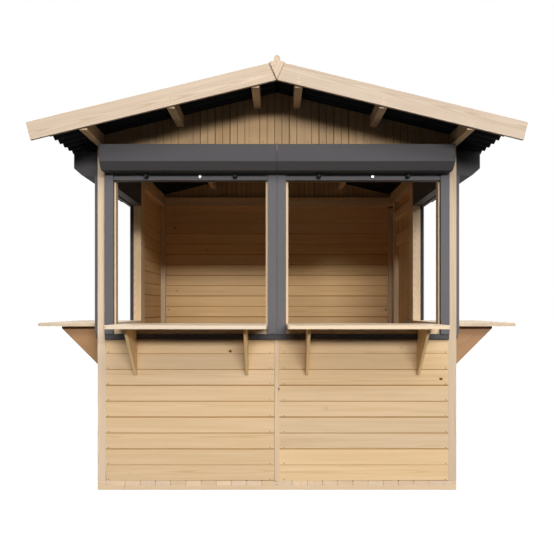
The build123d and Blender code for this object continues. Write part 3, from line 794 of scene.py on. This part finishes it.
# Door furniture: galvanised strap hinges on the outside of the leaf, and a turned knob on each face.
# Round-headed bolts hold the straps to the leaf, and screws hold the plates to the jamb.
def zinc():
    """Galvanised steel: dull grey with the faint spangle of the zinc."""
    finish, shader, tree = new_finish("galvanised_steel", Metallic=0.9)
    place = tree.add("TexCoord", output="Object")
    spangle = tree.add("TexVoronoi", inputs={"Vector": place, "Scale": 140.0}, output="Distance")
    spangle.between((0.19, 0.195, 0.20, 1.0), (0.30, 0.305, 0.31, 1.0)).into(shader, "Base Color")
    (0.55 + spangle * 0.2).into(shader, "Roughness")
    return finish


zinc_finish = zinc()
finish_nodes(zinc_finish, "door_straps", "door_hinge_plates", "door_knobs")
bolt_head = [(0.0085, -0.001), (0.0085, 0.0010), (0.0070, 0.0032), (0.0035, 0.0045)]
plate_face = wall_face + 0.003
hinge_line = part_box("door_hinge_plates")[0].y + 0.008
hinge_heights, bolt_reaches = (0.260, 1.820), (0.060, 0.200, 0.340)
screw_column, screw_rises = hinge_line + 0.030, (-0.034, 0.0, 0.034)
bolts, plate_screws = [], []
for hinge_height in hinge_heights:
    for reach in bolt_reaches:
        bolts.append((Vector((plate_face, hinge_line - reach, hinge_height)), ALONG_X))
    for rise in screw_rises:
        plate_screws.append((Vector((plate_face, screw_column, hinge_height + rise)), ALONG_X))
turned("strap_bolts", bolt_head, 12, bolts, zinc_finish, "door")
turned("plate_screws", screw_head, 10, plate_screws, zinc_finish, "hut")


# The picture: a plain pale floor, a wide low soft light from in front with a higher fill above it,
# two lamps behind for the other sides, and a white surround.
def sun(name, turn, height, spread, strength):
    """A lamp so many degrees round from the front and above the horizon, with soft edged shadows."""
    lamp = bpy.data.lights.new(name, "SUN")
    lamp.angle = math.radians(spread)
    lamp.energy = strength
    light = bpy.data.objects.new(name, lamp)
    light.rotation_euler = (math.radians(90 - height), 0, math.radians(turn))
    bpy.context.scene.collection.objects.link(light)


def softbox(name, place, aim, width, height, watts):
    """A rectangular lamp at a place, turned towards what it is aimed at."""
    lamp = bpy.data.lights.new(name, "AREA")
    lamp.shape, lamp.size, lamp.size_y, lamp.energy = "RECTANGLE", width, height, watts
    light = bpy.data.objects.new(name, lamp)
    light.location = place
    light.rotation_euler = (Vector(aim) - Vector(place)).to_track_quat("-Z", "Y").to_euler()
    bpy.context.scene.collection.objects.link(light)


softbox("key_light", place=(4.5, -31.0, 8.3), aim=(0, -1.15, 1.5), width=22, height=2.6, watts=7700)
softbox("fill_light", place=(2.5, -11.0, 8.4), aim=(0, -1.15, 1.5), width=8, height=4.5, watts=850)
sun("left_rear_light", -120, 35, 25, 2.4)
sun("right_rear_light", 120, 35, 25, 2.4)


def seen_by_camera(tree):
    """1 where the camera sees this, straight, in a shiny surface or through glass, or else 0."""
    paths = tree.add("LightPath").output.node.outputs
    camera, glossy, through = (
        Socket(tree.tree, paths[f"Is {kind} Ray"]) for kind in ("Camera", "Glossy", "Transmission"))
    return (camera + glossy + through) > 0.5


surround = bpy.data.worlds.new("surround")
surround.use_nodes = True
backdrop = surround.node_tree.nodes["Background"]
backdrop.inputs["Color"].default_value = (1, 1, 1, 1)
(0.006 + seen_by_camera(Socket(surround.node_tree)) * 0.994).into(backdrop, "Strength")
bpy.context.scene.world = surround

floor_mesh = bpy.data.meshes.new("pale_floor")
floor_reach = 40
corners = [(floor_reach * x, floor_reach * y, 0) for x, y in ((-1, -1), (1, -1), (1, 1), (-1, 1))]
floor_mesh.from_pydata(corners, [], [(0, 1, 2, 3)])
floor = bpy.data.objects.new("pale_floor", floor_mesh)
bpy.context.scene.collection.objects.link(floor)
pale, shader, tree = new_finish("pale_floor", Roughness=0.9, Specular_IOR_Level=0.0)
seen = seen_by_camera(tree)
seen.between((0.04, 0.04, 0.04, 1.0), (0.20, 0.20, 0.20, 1.0)).into(shader, "Base Color")
glow = tree.add("Emission", inputs={"Color": (1, 1, 1, 1), "Strength": 0.90})
lit = Socket(tree.tree, shader.outputs[0])
bright = tree.add("AddShader", inputs={0: lit, 1: glow})
out = pale.node_tree.nodes["Material Output"]
tree.add("MixShader", inputs={0: seen, 1: lit, 2: bright}).into(out, "Surface")
floor_mesh.materials.append(pale)

camera = bpy.data.cameras.new("camera")
camera.lens = 43.4
camera.sensor_width = 36
camera.shift_y = 0.055
viewer = bpy.data.objects.new("camera", camera)
viewer.location = (0, -5.43, 1.169)
viewer.rotation_euler = (math.radians(90), 0, 0)
bpy.context.scene.collection.objects.link(viewer)
bpy.context.scene.camera = viewer
bpy.context.scene.view_settings.view_transform = "Standard"
